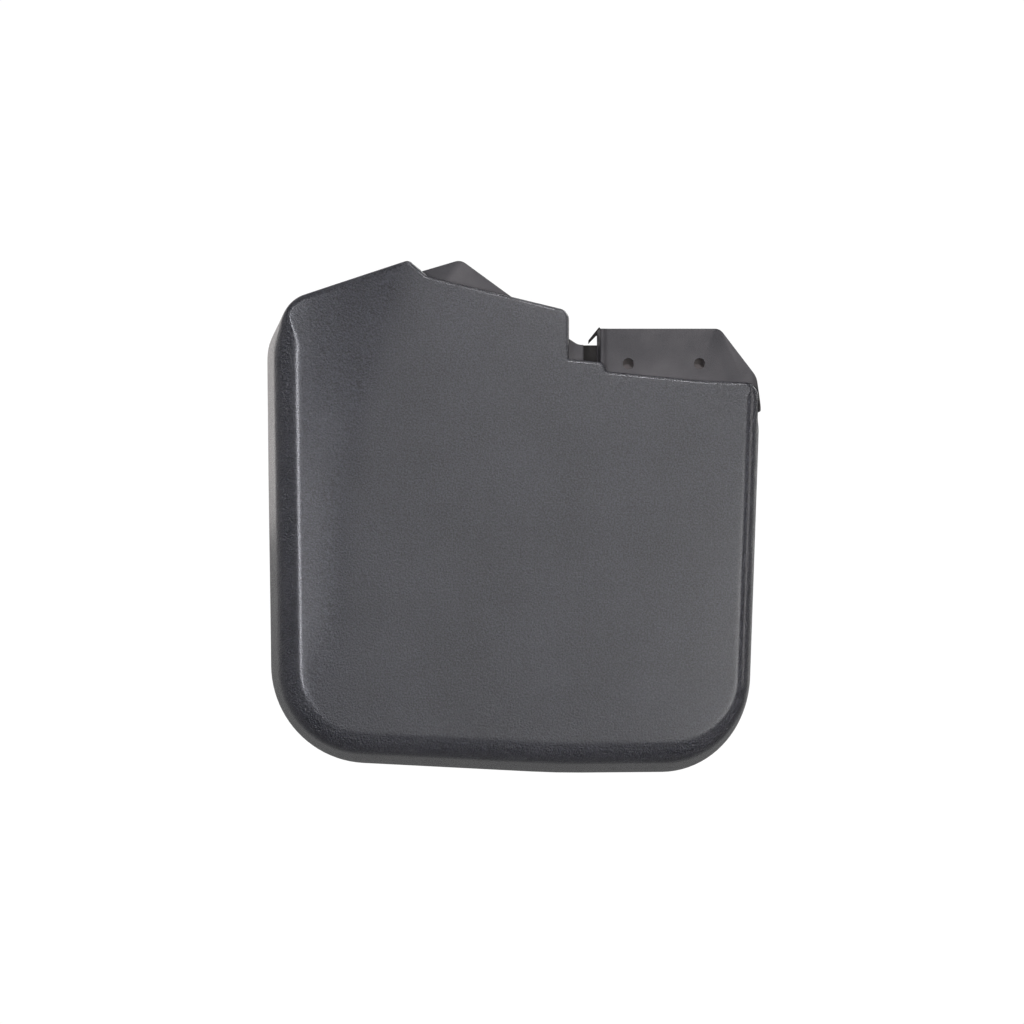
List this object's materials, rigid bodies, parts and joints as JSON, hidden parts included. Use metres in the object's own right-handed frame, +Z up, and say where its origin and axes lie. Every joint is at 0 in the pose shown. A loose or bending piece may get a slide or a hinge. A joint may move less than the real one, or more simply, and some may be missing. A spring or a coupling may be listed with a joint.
{
  "type": "mud flap",
  "caption": "Dished moulded mud flap for a front wheel arch: grained outer shell, screw-on mounting plate and a backing strap that grips the arch lip.",
  "frame": {"origin": "midway between the two fixing holes, on the back face of the screw pad where the arch lip bears", "axes": "as fitted to the front left wheel: +X inboard, +Y towards the wheel (the finished face looks along -Y), +Z up"},
  "size_m": [0.2974, 0.042, 0.3064],
  "materials": {
    "shell_plastic": "fine moulded grain, semi-matt charcoal black",
    "plate_plastic": "smooth as moulded, semi-matt charcoal black",
    "strap_steel": "black paint over pressed steel, satin",
    "fastener_steel": "zinc plated"
  },
  "bodies": {
    "root": {"outer_shell": "shell_plastic", "mounting_plate": "plate_plastic", "backing_strap": "strap_steel", "strap_rivet_1": "fastener_steel", "strap_rivet_2": "fastener_steel", "plate_washer_1": "fastener_steel", "plate_screw_1": "fastener_steel", "plate_washer_2": "fastener_steel", "plate_screw_2": "fastener_steel", "plate_washer_3": "fastener_steel", "plate_screw_3": "fastener_steel", "plate_washer_4": "fastener_steel", "plate_screw_4": "fastener_steel", "plate_washer_5": "fastener_steel", "plate_screw_5": "fastener_steel", "plate_washer_6": "fastener_steel", "plate_screw_6": "fastener_steel"}
  },
  "joints": []
}
